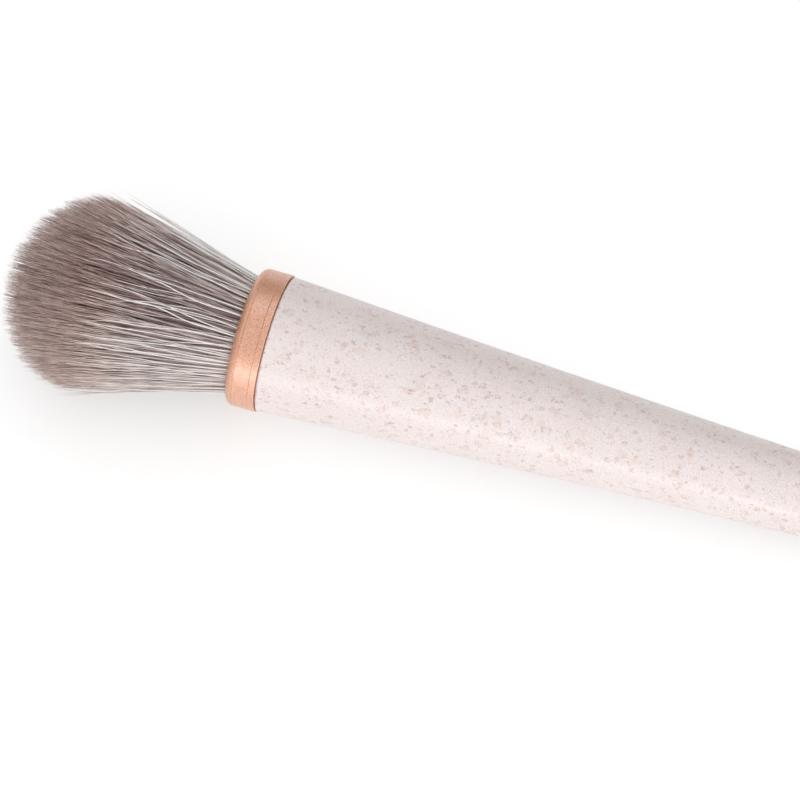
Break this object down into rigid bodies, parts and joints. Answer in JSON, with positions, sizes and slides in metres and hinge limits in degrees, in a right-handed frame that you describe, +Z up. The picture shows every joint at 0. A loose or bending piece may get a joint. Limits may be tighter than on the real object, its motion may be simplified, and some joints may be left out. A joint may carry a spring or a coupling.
{
  "type": "eyeshadow brush",
  "caption": "Round make-up brush for laying on and blending powder: fluffy domed tuft, rolled satin metal ferrule and a speckled handle that tapers to a rounded tail.",
  "frame": {"origin": "on the brush axis, at the seam where the ferrule's shoulder seats on the handle's front face", "axes": "+X along the brush axis towards the tail of the handle, so the tuft points to -X; +Z up with the brush lying flat"},
  "size_m": [0.1479, 0.0198, 0.0195],
  "materials": {
    "speckled_composite": "satin",
    "satin_copper_metal": "satin",
    "taupe_filament": "satin",
    "potting_resin": "gloss",
    "glue": "gloss"
  },
  "bodies": {
    "brush_body": {"handle": "speckled_composite", "ferrule": "satin_copper_metal", "root_plug": "potting_resin", "handle_adhesive": "glue"},
    "bristles": {"bristle_tuft": "taupe_filament"}
  },
  "joints": [
    {"name": "bristle_flex", "type": "hinge", "parent": "brush_body", "child": "bristles", "pos_m": [-0.0032, 0, 0], "axis": [0, 0, 1], "range_deg": [-30, 30], "stiffness_Nm_per_rad": 0.012, "deforming": ["bristle_tuft"]}
  ]
}
